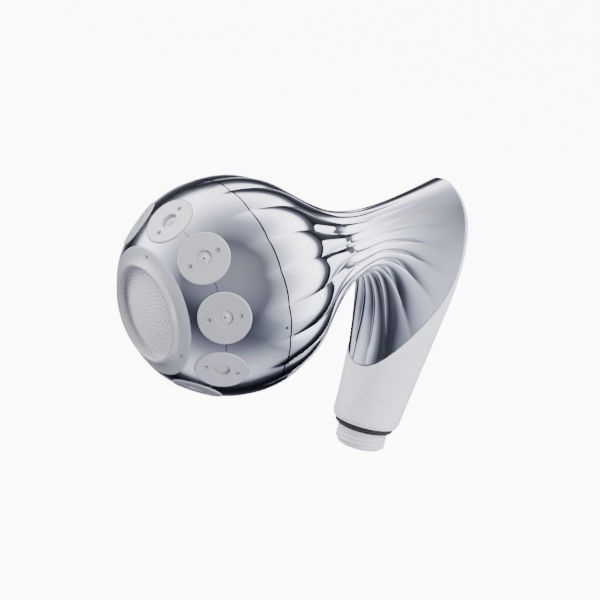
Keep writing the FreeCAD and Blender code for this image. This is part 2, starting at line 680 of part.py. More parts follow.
def write_parts():
    """Checks every object and writes each sub-part's STEP file."""
    doc.recompute()
    for obj in doc.Objects:
        bad = [word for word in obj.State if word in ("Invalid", "Error")]
        if bad:
            raise RuntimeError(f"{obj.Label} ({obj.Name}) is {bad}")
    os.makedirs("parts", exist_ok=True)
    for old in os.listdir("parts"):
        os.remove(os.path.join("parts", old))
    for obj in kept:
        shape = obj.Shape
        if shape.isNull() or not shape.isValid() or not shape.Solids:
            raise RuntimeError(f"{obj.Label} has no valid solid")
        print(f"{obj.Label:18s} solids {len(shape.Solids)} volume {shape.Volume / 1000:8.3f} cm3")
        shape.exportStep(f"parts/{obj.Label}.step")
    print(len(kept), "sub-parts")


make_casing()
make_jets()
make_face()
make_inner_works()
make_stem()
write_parts()
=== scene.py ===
"""Handheld shower head: fluted chrome ball and neck, jet discs, spray face and white stem."""

import json
import logging
import math
from dataclasses import dataclass, field
from enum import Enum

import bmesh
import bpy
import numpy as np
from mathutils import Matrix, Vector


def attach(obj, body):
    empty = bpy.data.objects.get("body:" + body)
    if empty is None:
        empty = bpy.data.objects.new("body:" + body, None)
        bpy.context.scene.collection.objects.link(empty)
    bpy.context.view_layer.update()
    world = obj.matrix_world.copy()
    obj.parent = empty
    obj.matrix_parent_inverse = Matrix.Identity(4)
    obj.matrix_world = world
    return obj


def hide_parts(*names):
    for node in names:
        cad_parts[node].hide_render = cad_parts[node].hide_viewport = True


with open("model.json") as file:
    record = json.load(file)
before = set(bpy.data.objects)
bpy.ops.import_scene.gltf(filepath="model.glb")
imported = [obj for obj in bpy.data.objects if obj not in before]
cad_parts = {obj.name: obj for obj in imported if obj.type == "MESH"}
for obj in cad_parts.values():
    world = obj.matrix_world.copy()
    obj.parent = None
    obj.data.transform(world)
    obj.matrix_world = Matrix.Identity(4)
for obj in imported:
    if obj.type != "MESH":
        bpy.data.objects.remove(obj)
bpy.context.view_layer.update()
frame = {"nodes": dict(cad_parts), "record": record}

LOG = logging.getLogger("shower_head")
MM = 0.001
HEAD_CENTRE = Vector((0.0, -88.0, 60.4)) * MM
SPRAY_TILT = math.radians(20.2)
HEAD_FRAME = Matrix.Translation(HEAD_CENTRE) @ Matrix.Rotation(math.radians(90) + SPRAY_TILT, 4, "X")
BALL_FRAME = Matrix.Translation(HEAD_CENTRE)
STEM_FRAME = Matrix.Translation((0.0, 0.0, HEAD_CENTRE.z))
BALL_RADIUS = 41.8
ON_BALL = 0.02
WELD = 0.002
POLE_WELD = 0.0001
SMOOTH_ANGLE = math.radians(28)


class Body(Enum):
    """The rigid bodies that new pieces ride on."""

    HANDLE = "handle"
    DIAL = "dial"


# ---------------------------------------------------------------- finishes


RELIEF = 0.02
COAT_ROUGHNESS = 0.05

@dataclass(frozen=True)
class Finish:
    """A procedural surface: colour mottling, roughness variation and fine bump."""

    name: str
    colour: tuple[float, float, float]
    metallic: float = 0.0
    roughness: float = 0.3
    roughness_swing: float = 0.05
    mottle: float = 0.04
    mottle_scale: float = 90.0
    grain_scale: float = 900.0
    bump: float = 0.02
    coat: float = 0.0
    grain_stretch: tuple[float, float, float] = (1.0, 1.0, 1.0)
    glow: float = 0.0

    def material(self) -> bpy.types.Material:
        """Builds the material, or returns it if it has been built already.

        Returns:
            The node material of this finish.
        """
        known = bpy.data.materials.get(self.name)
        if known:
            return known
        made = bpy.data.materials.new(self.name)
        made.use_nodes = True
        made.diffuse_color = (*self.colour, 1.0)
        nodes, links = made.node_tree.nodes, made.node_tree.links
        shader = nodes["Principled BSDF"]
        shader.inputs["Metallic"].default_value = self.metallic
        shader.inputs["Coat Weight"].default_value = self.coat
        shader.inputs["Coat Roughness"].default_value = COAT_ROUGHNESS
        shader.inputs["Emission Color"].default_value = (*self.colour, 1.0)
        shader.inputs["Emission Strength"].default_value = self.glow
        place = nodes.new("ShaderNodeTexCoord")
        stretch = nodes.new("ShaderNodeMapping")
        stretch.inputs["Scale"].default_value = self.grain_stretch
        links.new(place.outputs["Object"], stretch.inputs["Vector"])
        broad = self._noise(nodes, self.mottle_scale)
        fine = self._noise(nodes, self.grain_scale)
        links.new(place.outputs["Object"], broad.inputs["Vector"])
        links.new(stretch.outputs["Vector"], fine.inputs["Vector"])
        tint = nodes.new("ShaderNodeValToRGB")
        shade = 1.0 - self.mottle
        tint.color_ramp.elements[0].position = 0.3
        tint.color_ramp.elements[1].position = 0.7
        tint.color_ramp.elements[0].color = (*[c * shade for c in self.colour], 1.0)
        tint.color_ramp.elements[1].color = (*self.colour, 1.0)
        links.new(broad.outputs["Fac"], tint.inputs["Fac"])
        links.new(tint.outputs["Color"], shader.inputs["Base Color"])
        spread = nodes.new("ShaderNodeMapRange")
        spread.inputs["To Min"].default_value = max(0.0, self.roughness - self.roughness_swing)
        spread.inputs["To Max"].default_value = self.roughness + self.roughness_swing
        links.new(fine.outputs["Fac"], spread.inputs["Value"])
        links.new(spread.outputs["Result"], shader.inputs["Roughness"])
        relief = nodes.new("ShaderNodeBump")
        relief.inputs["Strength"].default_value = self.bump
        relief.inputs["Distance"].default_value = RELIEF * MM
        links.new(fine.outputs["Fac"], relief.inputs["Height"])
        links.new(relief.outputs["Normal"], shader.inputs["Normal"])
        return made

    @staticmethod
    def _noise(nodes: bpy.types.Nodes, scale: float) -> bpy.types.Node:
        """Adds a noise texture node of the given scale and returns it."""
        noise = nodes.new("ShaderNodeTexNoise")
        noise.inputs["Scale"].default_value = scale
        noise.inputs["Detail"].default_value = 4.0
        return noise


class Finishes(Enum):
    """Every finish on the shower head, by the record's material slot."""

    chrome = Finish("mirror_chrome", (0.86, 0.865, 0.90), 1.0, 0.045, 0.02, 0.03, 60, 700, 0.01)
    satin_chrome = Finish("dial_chrome", (0.70, 0.71, 0.75), 1.0, 0.12, 0.03, 0.04, 60, 700, 0.01)
    satin_grey = Finish("satin_disc", (0.56, 0.56, 0.58), 0.3, 0.34, 0.05, 0.03, 120, 1600, 0.1)
    nozzle_grey = Finish("moulded_tip", (0.62, 0.62, 0.64), 0.2, 0.32, 0.05, 0.05, 120, 1500, 0.08)
    spray_plate_white = Finish(
        "spray_plate_matt", (0.93, 0.895, 0.91), 0.0, 0.5, 0.06, 0.05, 160, 1800, 0.2)
    gloss_white = Finish("gloss_white", (0.90, 0.90, 0.95), 0.0, 0.16, 0.04, 0.015, 30, 500, 0.01, 0.7)
    white_thread = Finish("moulded_white", (0.86, 0.86, 0.89), 0.0, 0.3, 0.06, 0.03, 80, 900, 0.05, 0.2)
    black_rubber = Finish("black_rubber", (0.012, 0.012, 0.014), 0.0, 0.42, 0.1, 0.3, 150, 1500, 0.2)
    steel = Finish(
        "stainless", (0.55, 0.55, 0.56), 1.0, 0.26, 0.06, 0.05, 100, 900, 0.05, 0.0, (1, 1, 8))
    index_dark = Finish("dark_inlay", (0.02, 0.02, 0.024), 0.0, 0.3, 0.05, 0.1)
    grey_plastic = Finish("grey_acetal", (0.30, 0.30, 0.32), 0.0, 0.45, 0.08, 0.05)
    works_plastic = Finish("natural_plastic", (0.72, 0.72, 0.70), 0.0, 0.5, 0.08, 0.05)
    # painted shade: near-black plugs mark the real fine holes and stand in for the shade inside them
    mist_hole = Finish("hole_shadow", (0.03, 0.028, 0.03), 0.0, 0.7, 0.05, 0.2)


# ---------------------------------------------------------------- making pieces


def link_up(mesh: bmesh.types.BMesh, name: str) -> bpy.types.Object:
    """Makes an object at the origin from a bmesh, which is freed, and returns it."""
    data = bpy.data.meshes.new(name)
    mesh.to_mesh(data)
    mesh.free()
    made = bpy.data.objects.new(name, data)
    bpy.context.scene.collection.objects.link(made)
    return made


def settle(mesh: bmesh.types.BMesh, name: str, place: Matrix) -> bpy.types.Object:
    """Turns a closed bmesh into a finished object at the origin, smooth with sharp edges kept.

    Args:
        mesh: the shape, in millimetres in its own frame; it is freed.
        name: the piece's name.
        place: where that frame stands in the shower head's frame.

    Returns:
        The new object.
    """
    mesh.transform(place @ Matrix.Scale(MM, 4))
    bmesh.ops.recalc_face_normals(mesh, faces=mesh.faces)
    if mesh.calc_volume(signed=True) < 0:
        bmesh.ops.reverse_faces(mesh, faces=mesh.faces)
    soften(mesh)
    return link_up(mesh, name)


def soften(mesh: bmesh.types.BMesh) -> None:
    """Sets smooth shading, with edges sharper than the smoothing angle kept crisp."""
    for face in mesh.faces:
        face.smooth = True
    for edge in mesh.edges:
        edge.smooth = not (edge.is_manifold and edge.calc_face_angle(0.0) > SMOOTH_ANGLE)


def dress(piece: bpy.types.Object, finish: Finishes, body: Body, *stands_for: str) -> bpy.types.Object:
    """Gives a new piece its finish, its body and the nodes it stands for.

    Args:
        piece: the object to dress.
        finish: its surface; the slot has the same name.
        body: the body it rides on.
        stands_for: CAD nodes that it replaces.

    Returns:
        The same object.
    """
    piece.data.materials.clear()
    piece.data.materials.append(finish.value.material())
    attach(piece, body.value)
    if stands_for:
        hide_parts(*stands_for)
    LOG.info("%s rides on %s in %s", piece.name, body.value, finish.value.name)
    return piece


def lathe(outline: list[tuple[float, float]], segments: int) -> bmesh.types.BMesh:
    """Closed solid of revolution about z.

    Args:
        outline: (radius, height) corners of a closed outline, in millimetres.
        segments: steps round the turn.

    Returns:
        The turned shape.
    """
    mesh = bmesh.new()
    corners = [mesh.verts.new((radius, 0.0, height)) for radius, height in outline]
    edges = [mesh.edges.new((a, b)) for a, b in zip(corners, corners[1:] + corners[:1])]
    bmesh.ops.spin(mesh, geom=corners + edges, axis=(0, 0, 1), cent=(0, 0, 0), steps=segments,
                   angle=math.tau, use_merge=True)
    bmesh.ops.remove_doubles(mesh, verts=mesh.verts, dist=POLE_WELD)
    bmesh.ops.dissolve_degenerate(mesh, edges=mesh.edges, dist=POLE_WELD / 10)
    return mesh


def welded_copy(node: str, name: str) -> bpy.types.Object:
    """Smooth-shaded copy of a CAD node, its corners merged.

    Args:
        node: the CAD node's name.
        name: the new piece's name.

    Returns:
        The new object.
    """
    mesh = bmesh.new()
    mesh.from_mesh(frame["nodes"][node].data)
    bmesh.ops.remove_doubles(mesh, verts=mesh.verts, dist=WELD * MM)
    soften(mesh)
    return link_up(mesh, name)


def round_normals(piece: bpy.types.Object, centre: Vector, radius: float) -> None:
    """Shades the parts of a piece that lie on a sphere exactly as that sphere.

    Args:
        piece: the object.
        centre: the sphere's centre.
        radius: its radius, in metres.
    """
    data = piece.data
    on_ball = [abs((v.co - centre).length - radius) < ON_BALL * MM for v in data.vertices]
    normals = [(0.0, 0.0, 0.0)] * len(data.loops)
    for face in data.polygons:
        if all(on_ball[i] for i in face.vertices):
            for loop in face.loop_indices:
                corner = data.vertices[data.loops[loop].vertex_index].co
                normals[loop] = tuple((corner - centre).normalized())
    data.normals_split_custom_set(normals)


# ---------------------------------------------------------------- flowing shells


@dataclass
class Flow:
    """Flow lines of the casing behind the ball's seam, in millimetres from the ball's centre."""

    seam: tuple = ((0, 95.2, 50.7), (8.2, 96.2, 48), (14.6, 99.2, 38), (17.2, 100.3, 20),
                   (16.8, 93.6, -1.5), (12.4, 79.5, -21.5), (0, 75.2, -29.5))
    arrive: tuple = ((0, 0.9, 0.44), (0.2, 0.9, 0.34), (0.28, 0.94, 0.16), (0.2, 0.97, -0.12),
                     (0.08, 0.74, -0.66), (0.03, 0.3, -0.95), (0, 0.03, -1))
    handles: tuple = ((12, 14), (13, 15), (16, 16), (17, 20), (15, 22), (11, 24), (9, 24))
    cover_first: tuple = ((0, 107.5, 50), (8.4, 108.5, 44), (15, 108, 32), (17.2, 105, 10),
                          (17, 96.5, -9), (12.4, 79.5, -28), (0, 75.2, -36))
    cover_second: tuple = ((0, 108, 0), (7, 107, -3), (12.2, 104.6, -8), (14.4, 98, -20),
                           (14.4, 86, -32), (8.6, 77, -42), (0, 74.2, -45))
    neck: tuple = ((35.5, 26.2), (48.0, 12.8), (68.0, 12.2))
    neck_share: float = 0.846
    leave_angle: float = math.radians(35.0)
    seam_forward: float = 0.95
    rim_radius: float = 14.0
    rim_drop: float = 51.8
    stem_back: float = 88.0

    def wave(self, samples: tuple, angles: np.ndarray, odd: bool = False) -> np.ndarray:
        """Smooth loop through one value per key line.

        Args:
            samples: one value, or point, for each of the seven key lines.
            angles: where to read it, in radians from the top.
            odd: whether the loop is odd about the middle plane.

        Returns:
            One row per angle.
        """
        values = np.asarray(samples, float)
        last = len(values) - 1
        orders = np.arange(last + 1)
        turn = np.pi * np.outer(orders, orders) / last
        if odd:
            return np.sin(np.outer(angles, orders)) @ (np.sin(turn) @ values) * 2 / last
        ends = np.where((orders == 0) | (orders == last), 0.5, 1.0)
        mix = (np.cos(turn) * ends[None, :]) @ values
        return (np.cos(np.outer(angles, orders)) * ends[None, :]) @ mix * 2 / last

    def points(self, samples: tuple, angles: np.ndarray) -> np.ndarray:
        """Points of the loop through the key lines' points, one row per angle."""
        table = np.asarray(samples, float)
        return np.column_stack([
            self.wave(table[:, 0], angles, odd=True),
            self.wave(table[:, 1], angles),
            self.wave(table[:, 2], angles),
        ])

    def outline(self, share: np.ndarray) -> np.ndarray:
        """Outline of ball and neck, (distance back, radius), for shares from seam (0) to neck (1)."""
        share = np.asarray(share, float)
        start = math.asin(-self.seam_forward / BALL_RADIUS)
        angle = start + (self.leave_angle - start) * np.minimum(share, 0.5) / 0.5
        ball = np.column_stack([np.sin(angle), np.cos(angle)]) * BALL_RADIUS
        ball_end = [math.sin(self.leave_angle) * BALL_RADIUS, math.cos(self.leave_angle) * BALL_RADIUS]
        corners = np.array([ball_end, *self.neck])
        t = np.clip(self.neck_share * (share - 0.5) / 0.5, 0, 1)[:, None]
        neck = self.curve(corners[0], corners[1], corners[2], corners[3], t)
        return np.where((share < 0.5)[:, None], ball, neck)

    @staticmethod
    def curve(a: np.ndarray, b: np.ndarray, c: np.ndarray, d: np.ndarray, t: np.ndarray) -> np.ndarray:
        """Cubic curve through a and d with handles b and c, at shares t."""
        s = 1 - t
        return a * s**3 + b * 3 * s**2 * t + c * 3 * s * t**2 + d * t**3

    @staticmethod
    def from_spray(back: np.ndarray, radius: np.ndarray, angle: np.ndarray) -> np.ndarray:
        """Points given by distance behind the centre, radius and angle from the top."""
        up = radius * np.cos(angle)
        return np.stack([
            radius * np.sin(angle),
            back * math.cos(SPRAY_TILT) - up * math.sin(SPRAY_TILT),
            back * math.sin(SPRAY_TILT) + up * math.cos(SPRAY_TILT),
        ], axis=-1)

    def bulb(self, angles: np.ndarray, share: np.ndarray) -> np.ndarray:
        """Net of points of ball and neck, one line per angle."""
        line = self.outline(share)
        return self.from_spray(line[None, :, 0], line[None, :, 1], angles[:, None])

    def trumpet(self, angles: np.ndarray, share: np.ndarray) -> np.ndarray:
        """Net of points of the flare from the neck to the back cover, one line per angle."""
        ends = self.bulb(angles, np.array([0.99, 1.0]))
        start = ends[:, 1]
        leave = start - ends[:, 0]
        leave /= np.linalg.norm(leave, axis=1)[:, None]
        arrive = self.points(self.arrive, angles)
        arrive /= np.linalg.norm(arrive, axis=1)[:, None]
        reach = self.wave(self.handles, angles)
        stop = self.points(self.seam, angles)
        first, second = start + leave * reach[:, :1], stop - arrive * reach[:, 1:]
        t = share[None, :, None]
        return self.curve(start[:, None], first[:, None], second[:, None], stop[:, None], t)

    def cover(self, angles: np.ndarray, share: np.ndarray) -> np.ndarray:
        """Net of points of the back cover from the seam down to the rim, one line per angle."""
        rim = np.column_stack([
            self.rim_radius * np.sin(angles), self.stem_back + self.rim_radius * np.cos(angles),
            np.full_like(angles, -self.rim_drop),
        ])
        lines = [self.points(self.seam, angles), self.points(self.cover_first, angles),
                 self.points(self.cover_second, angles), rim]
        return self.curve(*[line[:, None] for line in lines], share[None, :, None])


def inward_normals(net: np.ndarray) -> np.ndarray:
    """Unit normals of a net that is closed round its columns, pointing into the part."""
    along = np.gradient(net, axis=1)
    around = np.roll(net, -1, axis=0) - np.roll(net, 1, axis=0)
    normals = -np.cross(around, along)
    return normals / np.linalg.norm(normals, axis=2)[:, :, None]


def loft(lines: list[np.ndarray]) -> bmesh.types.BMesh:
    """Closed ring-shaped skin through hoops of points.

    Args:
        lines: hoops, each with one point per column; the last is joined to the first.

    Returns:
        The skin, grown hoop by hoop.
    """
    mesh = bmesh.new()
    columns = len(lines[0])
    hoop = bmesh.ops.create_circle(mesh, segments=columns, radius=1.0, cap_ends=False)["verts"]
    for vert, point in zip(hoop, lines[0]):
        vert.co = point
    first_edges = list(mesh.edges)
    edges = first_edges
    for line in lines[1:]:
        grown = bmesh.ops.extrude_edge_only(mesh, edges=edges)["geom"]
        edges = [item for item in grown if isinstance(item, bmesh.types.BMEdge)]
        edges = [edge for edge in edges if len(edge.link_faces) == 1]
        verts = [item for item in grown if isinstance(item, bmesh.types.BMVert)]
        for vert, point in zip(order_ring(verts, hoop), line):
            vert.co = point
        hoop = order_ring(verts, hoop)
    bmesh.ops.bridge_loops(mesh, edges=first_edges + edges)
    return mesh


def order_ring(verts: list[bmesh.types.BMVert],
               before: list[bmesh.types.BMVert]) -> list[bmesh.types.BMVert]:
    """Puts freshly extruded vertices in the order of the hoop that they grew from."""
    fresh = set(verts)
    ordered = []
    for old in before:
        ordered.append(next(e.other_vert(old) for e in old.link_edges if e.other_vert(old) in fresh))
    return ordered


@dataclass
class FlutedShell:
    """Chrome rear of the ball, its fluted neck and the flared trumpet."""

    flow: Flow = field(default_factory=Flow)
    flutes: int = 20
    columns_per_flute: int = 16
    ball_rows: int = 84
    trumpet_rows: int = 64
    wall: float = 2.0
    lobe_depth: float = 1.35
    pleat_depth: float = 0.8
    crest_power: float = 0.75
    fade_ahead: float = 13.0
    full_behind: float = 9.0
    front_share: float = 0.8
    swell: float = 0.35
    swell_start: float = 0.3
    swell_reach: float = 0.4
    tip_depth: float = 0.12
    tip_start: float = 0.76
    tip_reach: float = 0.1
    tip_edge: float = 0.022
    pleats_reach: float = 0.16
    seam_share: float = 0.99
    skin: float = 0.1

    def net(self) -> tuple[np.ndarray, np.ndarray]:
        """Works out the fluted outer net.

        Returns:
            The outer points and the inward normals of the plain surface.
        """
        columns = self.flutes * self.columns_per_flute
        angles = np.arange(columns) * math.tau / columns
        ball_share = np.linspace(0, 1, self.ball_rows)
        flare_share = np.linspace(0, self.seam_share, self.trumpet_rows + 1)[1:]
        bulb, trumpet = self.flow.bulb(angles, ball_share), self.flow.trumpet(angles, flare_share)
        plain = np.concatenate([bulb, trumpet], axis=1)
        normals = inward_normals(plain)
        across = self.across(angles)[:, None]
        depth = np.concatenate([
            self.lobe_cut(across, ball_share[None, :]),
            self.pleat_cut(across, angles[:, None], flare_share[None, :]),
        ], axis=1)
        return plain + normals * (depth + self.skin)[:, :, None], normals

    def across(self, angles: np.ndarray) -> np.ndarray:
        """Place across a flute, from -0.5 to 0.5, for each angle from the top."""
        return (angles * self.flutes / math.tau + 0.5) % 1.0 - 0.5

    def front_cut(self, across: np.ndarray, back: np.ndarray) -> np.ndarray:
        """Depth of cut round the seam, at a distance behind the ball's centre."""
        rise = smooth_step((back + self.fade_ahead) / (self.fade_ahead + self.full_behind))
        crest = np.abs(np.cos(np.pi * across)) ** self.crest_power
        return self.lobe_depth * self.front_share * rise * (1 - crest)

    def lobe_cut(self, across: np.ndarray, share: np.ndarray) -> np.ndarray:
        """Depth of cut on ball and neck: rounded lobes that end in petal tips."""
        back = self.flow.outline(share.ravel())[:, 0].reshape(share.shape)
        crest = np.abs(np.cos(np.pi * across)) ** self.crest_power
        tip = self.tip_start + self.tip_reach * np.sqrt(np.clip(1 - (2 * across) ** 2, 0, 1))
        past_tip = smooth_step((share - tip) / self.tip_edge)
        swell = 1 + self.swell * smooth_step((share - self.swell_start) / self.swell_reach)
        lobes = self.front_cut(across, back) * swell
        step = self.tip_depth * crest * past_tip
        behind = smooth_step((share - self.tip_start - self.tip_reach) / self.pleats_reach)
        pleats = self.pleat_depth * (1 - crest)
        return (lobes + step) * (1 - behind) + pleats * behind

    def pleat_cut(self, across: np.ndarray, angles: np.ndarray, share: np.ndarray) -> np.ndarray:
        """Depth of cut on the trumpet: pleats that fade towards the back cover."""
        crest = np.abs(np.cos(np.pi * across)) ** self.crest_power
        under = 0.5 - 0.5 * np.cos(angles)
        fade = 1 - smooth_step(share / (0.86 + 0.5 * under**3))
        grow = 1 + 1.1 * smooth_step(share / 0.3)
        grow = 1 + (grow - 1) * (0.3 + 0.7 * smooth_step(under / 0.35))
        soft = 1 - 0.7 * smooth_step(share / 0.25) * (1 - smooth_step(under / 0.3))
        return self.pleat_depth * grow * soft * fade * (1 - crest)

    def build(self) -> bpy.types.Object:
        """Lofts the outside, turns in at the seam and comes back along the inside."""
        outer, normals = self.net()
        plain_inner = outer + normals * self.wall
        rows = outer.shape[1]
        inside = dict.fromkeys([*range(rows - 1, -1, -4), 0])
        lines = [outer[:, row] for row in range(rows)]
        lines += [plain_inner[:, row] for row in inside]
        shell = settle(loft(lines), "fluted_shell", BALL_FRAME)
        return dress(shell, Finishes.chrome, Body.HANDLE, "rear_shell")


def smooth_step(value: np.ndarray) -> np.ndarray:
    """Rises smoothly from 0 to 1 as value goes from 0 to 1."""
    held = np.clip(value, 0.0, 1.0)
    return held * held * (3 - 2 * held)


@dataclass
class WhiteBack:
    """Gloss white cover on the back of the stem."""

    flow: Flow = field(default_factory=Flow)
    columns: int = 160
    rows: int = 90
    wall: float = 2.0
    skin: float = 0.1
    gap: float = 0.004

    def build(self) -> bpy.types.Object:
        """Lofts the cover from its seam to the rim and back along the inside."""
        angles = np.arange(self.columns) * math.tau / self.columns
        share = self.gap + (1 - self.gap) * np.linspace(0, 1, self.rows) ** 1.3
        plain = self.flow.cover(angles, share)
        normals = inward_normals(plain)
        normals[:, -1, 2] = 0.0
        outer = plain + normals * self.skin
        inner = plain + normals * self.wall
        inside = list(range(self.rows - 1, 11, -4)) + [0]
        lines = [outer[:, row] for row in range(self.rows)] + [inner[:, row] for row in inside]
        cover = settle(loft(lines), "white_back", BALL_FRAME)
        return dress(cover, Finishes.gloss_white, Body.HANDLE, "back_cover")


# ---------------------------------------------------------------- turning face


@dataclass
class TurningFace:
    """Smooth chrome domes, nine jet discs with their tips, and the ring round the spray plate."""

    shell: FlutedShell = field(default_factory=FlutedShell)
    jets: int = 9
    band_top: float = 14.9
    band_rows: int = 18
    mist_count: int = 340
    mist_reach: float = 16.8
    mist_radius: float = 0.21
    plate_curve: float = 57.4
    plate_apex: float = 36.7
    plate_edge: float = 17.6
    plate_thick: float = 1.2
    plate_step: tuple = ((17.75, 34.05), (19.4, 34.05), (19.4, 33.0), (16.5, 33.0))

    def build(self) -> None:
        """Builds every piece that turns with the dial."""
        face = welded_copy("face_dome", "face_dome_shell")
        round_normals(face, HEAD_CENTRE, BALL_RADIUS * MM)
        dress(face, Finishes.satin_chrome, Body.DIAL, "face_dome")
        self.fluted_dome()
        for number in range(1, self.jets + 1):
            disc, nozzle = f"jet_disc_{number}", f"jet_nozzle_{number}"
            dress(welded_copy(disc, f"disc_{number}"), Finishes.satin_grey, Body.DIAL, disc)
            dress(welded_copy(nozzle, f"nozzle_{number}"), Finishes.nozzle_grey, Body.DIAL, nozzle)
        dress(welded_copy("spray_ring", "face_ring"), Finishes.satin_grey, Body.DIAL, "spray_ring")
        self.plate()
        self.mist_holes()

    def fluted_dome(self) -> None:
        """Outer dome whose rear band takes up the flutes that run across the seam."""
        mesh = bmesh.new()
        mesh.from_mesh(frame["nodes"]["outer_dome"].data)
        mesh.transform(Matrix.Scale(1 / MM, 4) @ HEAD_FRAME.inverted())
        bmesh.ops.remove_doubles(mesh, verts=mesh.verts, dist=WELD)
        everything = list(mesh.verts) + list(mesh.edges) + list(mesh.faces)
        bmesh.ops.bisect_plane(mesh, geom=everything, plane_co=(0, 0, self.band_top), plane_no=(0, 0, 1))
        rear = min(vert.co.z for vert in mesh.verts)
        unwanted = [face for face in mesh.faces if self._in_band(face, rear)]
        bmesh.ops.delete(mesh, geom=unwanted, context="FACES")
        rims = [edge for edge in mesh.edges if edge.is_boundary]
        upper = [edge for edge in rims if edge.verts[0].co.z > self.band_top - 0.1]
        lower = [edge for edge in rims if edge.verts[0].co.z < rear + 0.1]
        hoops = self._band_hoops(mesh, rear)
        bmesh.ops.bridge_loops(mesh, edges=upper + hoops[0])
        bmesh.ops.bridge_loops(mesh, edges=lower + hoops[-1])
        dome = settle(mesh, "outer_dome_shell", HEAD_FRAME)
        round_normals(dome, HEAD_CENTRE, BALL_RADIUS * MM)
        dress(dome, Finishes.satin_chrome, Body.DIAL, "outer_dome")

    def _in_band(self, face: bmesh.types.BMFace, rear: float) -> bool:
        """Whether a face lies on the ball's surface below the band's top, or on the rear rim."""
        flat = all(vert.co.z < rear + 0.01 for vert in face.verts)
        below = all(vert.co.z < self.band_top + 0.01 for vert in face.verts)
        on_ball = all(abs(vert.co.length - BALL_RADIUS) < ON_BALL for vert in face.verts)
        return flat or (below and on_ball)

    def _band_hoops(self, mesh: bmesh.types.BMesh, rear: float) -> list[list[bmesh.types.BMEdge]]:
        """Grows the fluted band.

        Args:
            mesh: the dome that it is added to.
            rear: height of the dome's rear rim.

        Returns:
            The edges of its hoops, from the top of the band to the rear rim.
        """
        flutes = self.shell.flutes * self.shell.columns_per_flute
        hoop = bmesh.ops.create_circle(mesh, segments=flutes, radius=1.0, cap_ends=False)["verts"]
        edges = list({edge for vert in hoop for edge in vert.link_edges})
        hoops = [edges]
        heights = np.linspace(self.band_top - 0.4, rear, self.band_rows)
        for index, height in enumerate(heights):
            if index:
                grown = bmesh.ops.extrude_edge_only(mesh, edges=edges)["geom"]
                edges = [item for item in grown if isinstance(item, bmesh.types.BMEdge)]
                edges = [edge for edge in edges if edge.is_boundary]
                hoop = order_ring([item for item in grown if isinstance(item, bmesh.types.BMVert)], hoop)
                hoops.append(edges)
            for step, vert in enumerate(hoop):
                turn = math.tau * step / flutes
                cut = float(self.shell.front_cut(self.shell.across(np.array(turn)), np.array(-height)))
                ring = math.sqrt(BALL_RADIUS**2 - height**2)
                share = (BALL_RADIUS - cut) / BALL_RADIUS
                vert.co = (ring * math.sin(turn) * share, ring * math.cos(turn) * share, height)
        return hoops

    def crown(self, radius: float) -> float:
        """Height of the spray plate's surface at a radius."""
        return self.plate_apex - self.plate_curve + math.sqrt(self.plate_curve**2 - radius**2)

    def plate(self) -> None:
        """Domed spray plate with a stepped edge under the ring."""
        radii = np.linspace(0, self.plate_edge, 22)
        outline = [(r, self.crown(r)) for r in radii] + list(self.plate_step)
        outline += [(r, self.crown(r) - self.plate_thick) for r in radii[-3::-3]]
        outline.append((0.0, self.crown(0.0) - self.plate_thick))
        plate = settle(lathe(outline, 96), "domed_plate", HEAD_FRAME)
        dress(plate, Finishes.spray_plate_white, Body.DIAL, "spray_plate")

    def mist_holes(self) -> None:
        """Small dark plugs at the fine holes, their near-black painted shade, scattered evenly over the
        spray plate.
        """
        mesh = bmesh.new()
        golden = math.pi * (3 - math.sqrt(5))
        for index in range(self.mist_count):
            radius = self.mist_reach * math.sqrt((index + 0.5) / self.mist_count)
            lean = math.asin(radius / self.plate_curve)
            spot = Matrix.Rotation(index * golden, 4, "Z")
            spot @= Matrix.Translation((radius, 0, self.crown(radius) - 0.12))
            bmesh.ops.create_cone(mesh, cap_ends=True, segments=10, radius1=self.mist_radius * 0.8,
                                  radius2=self.mist_radius, depth=0.3,
                                  matrix=spot @ Matrix.Rotation(lean, 4, "Y"))
        holes = settle(mesh, "mist_holes", HEAD_FRAME)
        dress(holes, Finishes.mist_hole, Body.DIAL)


# ---------------------------------------------------------------- hose end


